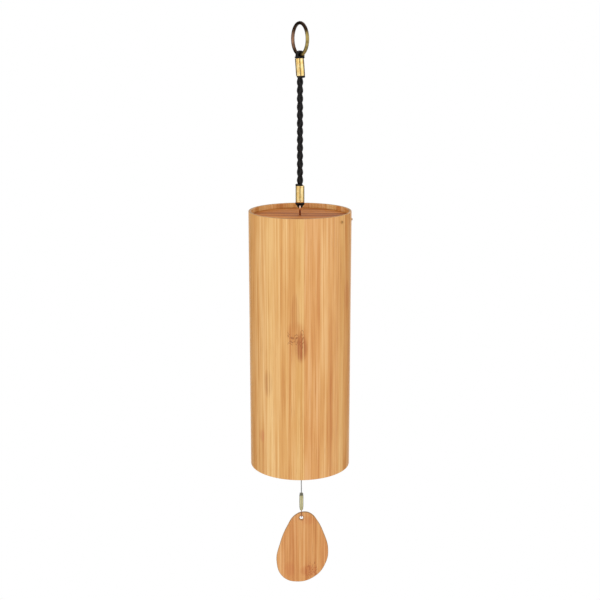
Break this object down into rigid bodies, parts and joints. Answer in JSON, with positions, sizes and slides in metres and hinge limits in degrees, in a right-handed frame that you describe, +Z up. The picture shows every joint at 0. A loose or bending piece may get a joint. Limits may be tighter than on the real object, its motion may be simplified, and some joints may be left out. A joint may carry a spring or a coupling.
{
  "type": "wind chime",
  "caption": "Hanging wind chime: a bamboo tube on a braided cord, with tone rods and a clapper inside and an egg-shaped wind sail below.",
  "frame": {"origin": "hang point, the highest point inside the hanging ring, where a hook bears", "axes": "+Z up along the hanging chime, -Y the way the face of the sail looks, +X to the right of that face"},
  "size_m": [0.0637, 0.0635, 0.3602],
  "materials": {
    "bronze": "dark patinated bronze, polished where it rubs",
    "brass": "polished, with fine drawn lines",
    "nail_brass": "dull brass, browned",
    "olive_brass": "satin olive brass with a dark end",
    "black_cord": "black braided cord of waxed strands",
    "bamboo_veneer": "satin clear coat over caramel bamboo strips",
    "bamboo_ply": "darker caramel bamboo ply, satin",
    "felt": "dark pressed felt",
    "plate_steel": "turned steel",
    "rod_steel": "drawn steel rod",
    "silver_solder": "rounded silver solder",
    "grey_thread": "grey twisted thread",
    "brown_thread": "brown waxed thread",
    "clapper_wood": "turned dark wood, oiled",
    "sail_bamboo": "satin clear coat over orange bamboo strips"
  },
  "bodies": {
    "ring": {"hanging_ring": "bronze"},
    "cord": {"top_loop": "black_cord", "top_ferrule": "brass", "hanger_cord": "black_cord"},
    "cord_end": {"bottom_ferrule": "brass", "bottom_loop": "black_cord"},
    "chime": {"tube": "bamboo_veneer", "top_disc": "bamboo_ply", "disc_nail_1": "nail_brass", "disc_nail_2": "nail_brass", "disc_nail_3": "nail_brass", "disc_nail_4": "nail_brass", "felt_washer": "felt", "sound_plate": "plate_steel", "top_eye": "brass", "lower_eye": "brass", "coupling_nut": "brass", "tone_rod_1": "rod_steel", "tone_rod_2": "rod_steel", "tone_rod_3": "rod_steel", "tone_rod_4": "rod_steel", "tone_rod_5": "rod_steel", "tone_rod_6": "rod_steel", "tone_rod_7": "rod_steel", "tone_rod_8": "rod_steel", "solder_1": "silver_solder", "solder_2": "silver_solder", "solder_3": "silver_solder", "solder_4": "silver_solder", "solder_5": "silver_solder", "solder_6": "silver_solder", "solder_7": "silver_solder", "solder_8": "silver_solder"},
    "thread_loop": {"clapper_loop": "grey_thread", "loop_knot": "grey_thread"},
    "clapper": {"clapper_thread": "grey_thread", "upper_bead": "brass", "clapper": "clapper_wood", "lower_bead": "brass"},
    "thread": {"sail_thread": "grey_thread"},
    "crimp": {"sail_crimp": "olive_brass", "sail_loop": "brown_thread"},
    "sail": {"wind_sail": "sail_bamboo"}
  },
  "joints": [
    {"name": "ring_swing", "type": "hinge", "parent": "ring", "child": "cord", "pos_m": [0, 0, -0.01735], "axis": [0.4695, -0.8829, 0], "range_deg": [-45, 45]},
    {"name": "cord_twist", "type": "hinge", "parent": "cord", "child": "cord_end", "pos_m": [0, 0, -0.095], "axis": [0, 0, 1], "range_deg": [-90, 90], "stiffness_Nm_per_rad": 0.0002},
    {"name": "eye_swing", "type": "hinge", "parent": "cord_end", "child": "chime", "pos_m": [0, 0, -0.108], "axis": [1, 0, 0], "range_deg": [-40, 40]},
    {"name": "clapper_rock", "type": "hinge", "parent": "chime", "child": "thread_loop", "pos_m": [0, 0, -0.13645], "axis": [0, 1, 0], "range_deg": [-8, 8]},
    {"name": "clapper_swing", "type": "hinge", "parent": "thread_loop", "child": "clapper", "pos_m": [0, 0, -0.14155], "axis": [1, 0, 0], "range_deg": [-9.5, 9.5]},
    {"name": "thread_swing", "type": "hinge", "parent": "clapper", "child": "thread", "pos_m": [0, 0, -0.1715], "axis": [-1, 0, 0], "range_deg": [-14, 14]},
    {"name": "sail_turn", "type": "hinge", "parent": "thread", "child": "crimp", "pos_m": [0.0009, 0, -0.2954], "axis": [0, 0, 1], "range_deg": [-180, 180], "stiffness_Nm_per_rad": 0.000002},
    {"name": "sail_rock", "type": "hinge", "parent": "crimp", "child": "sail", "pos_m": [0.0009, 0, -0.3125], "axis": [0, 1, 0], "range_deg": [-20, 20]}
  ]
}
